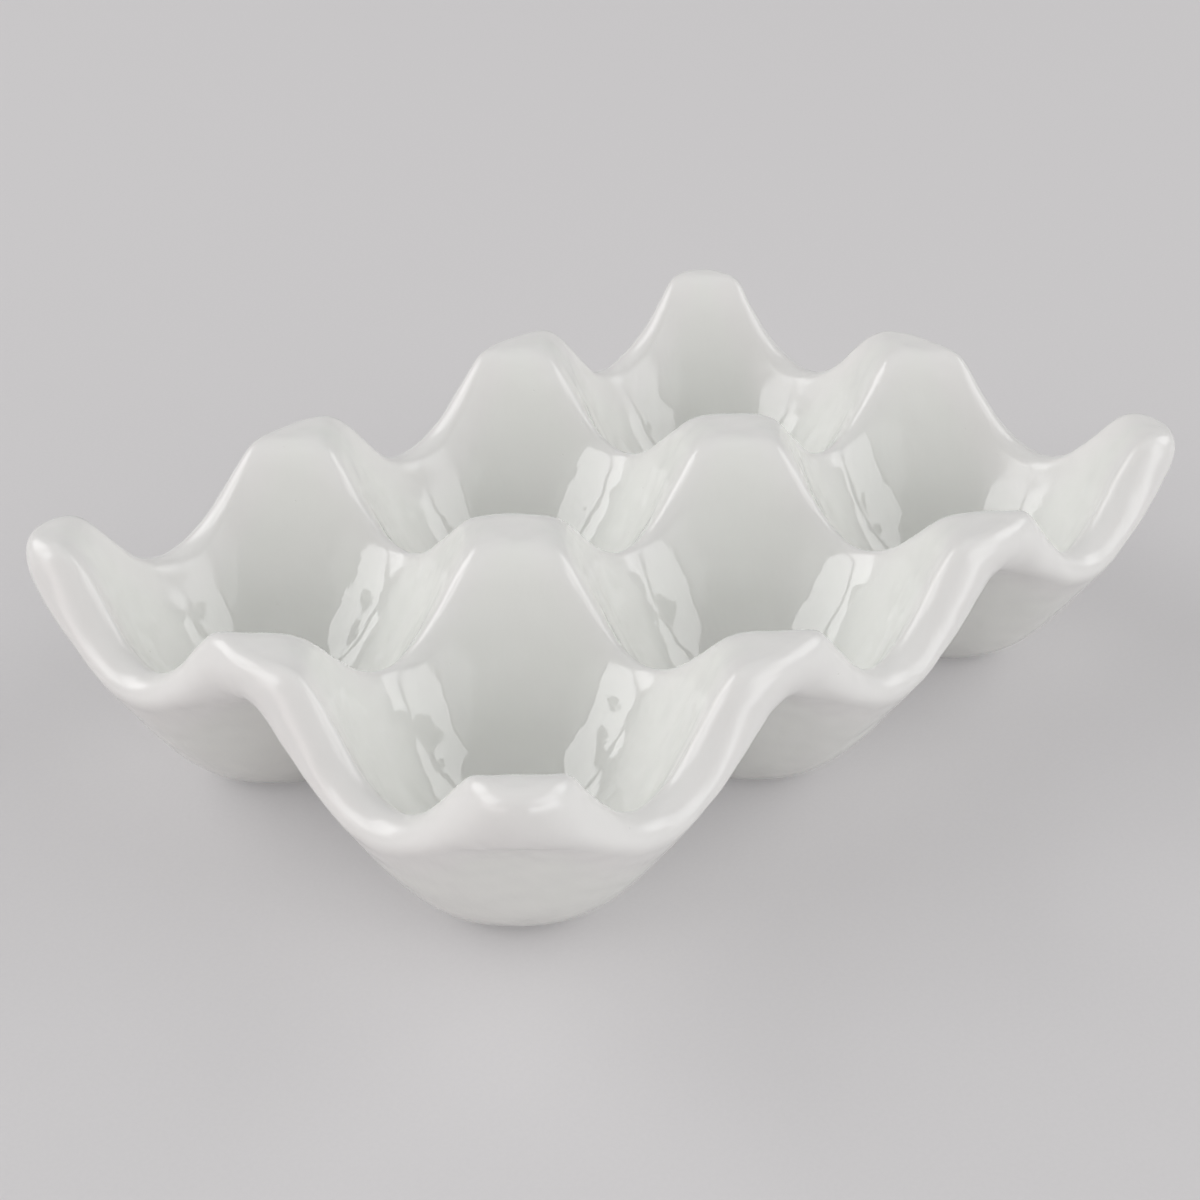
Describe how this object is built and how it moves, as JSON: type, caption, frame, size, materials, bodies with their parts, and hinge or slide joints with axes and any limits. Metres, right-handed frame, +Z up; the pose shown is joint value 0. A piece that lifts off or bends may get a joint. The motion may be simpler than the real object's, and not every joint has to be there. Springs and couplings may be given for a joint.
{
  "type": "egg tray",
  "caption": "White glazed ceramic egg tray: a wavy shell of six round cups and flat-topped peaks with a thick round lip, standing on small bare feet.",
  "frame": {"origin": "middle of the tray, on the surface that it stands on", "axes": "+X along a row of three cups, +Y across the two rows, +Z up"},
  "size_m": [0.1622, 0.1102, 0.0398],
  "materials": {
    "white_glaze": "glossy white glaze",
    "bare_clay": "fired clay wiped free of glaze, matt"
  },
  "bodies": {
    "root": {"tray_shell": "white_glaze", "foot_front_left": "bare_clay", "foot_front_middle": "bare_clay", "foot_front_right": "bare_clay", "foot_back_left": "bare_clay", "foot_back_middle": "bare_clay", "foot_back_right": "bare_clay"}
  },
  "joints": []
}
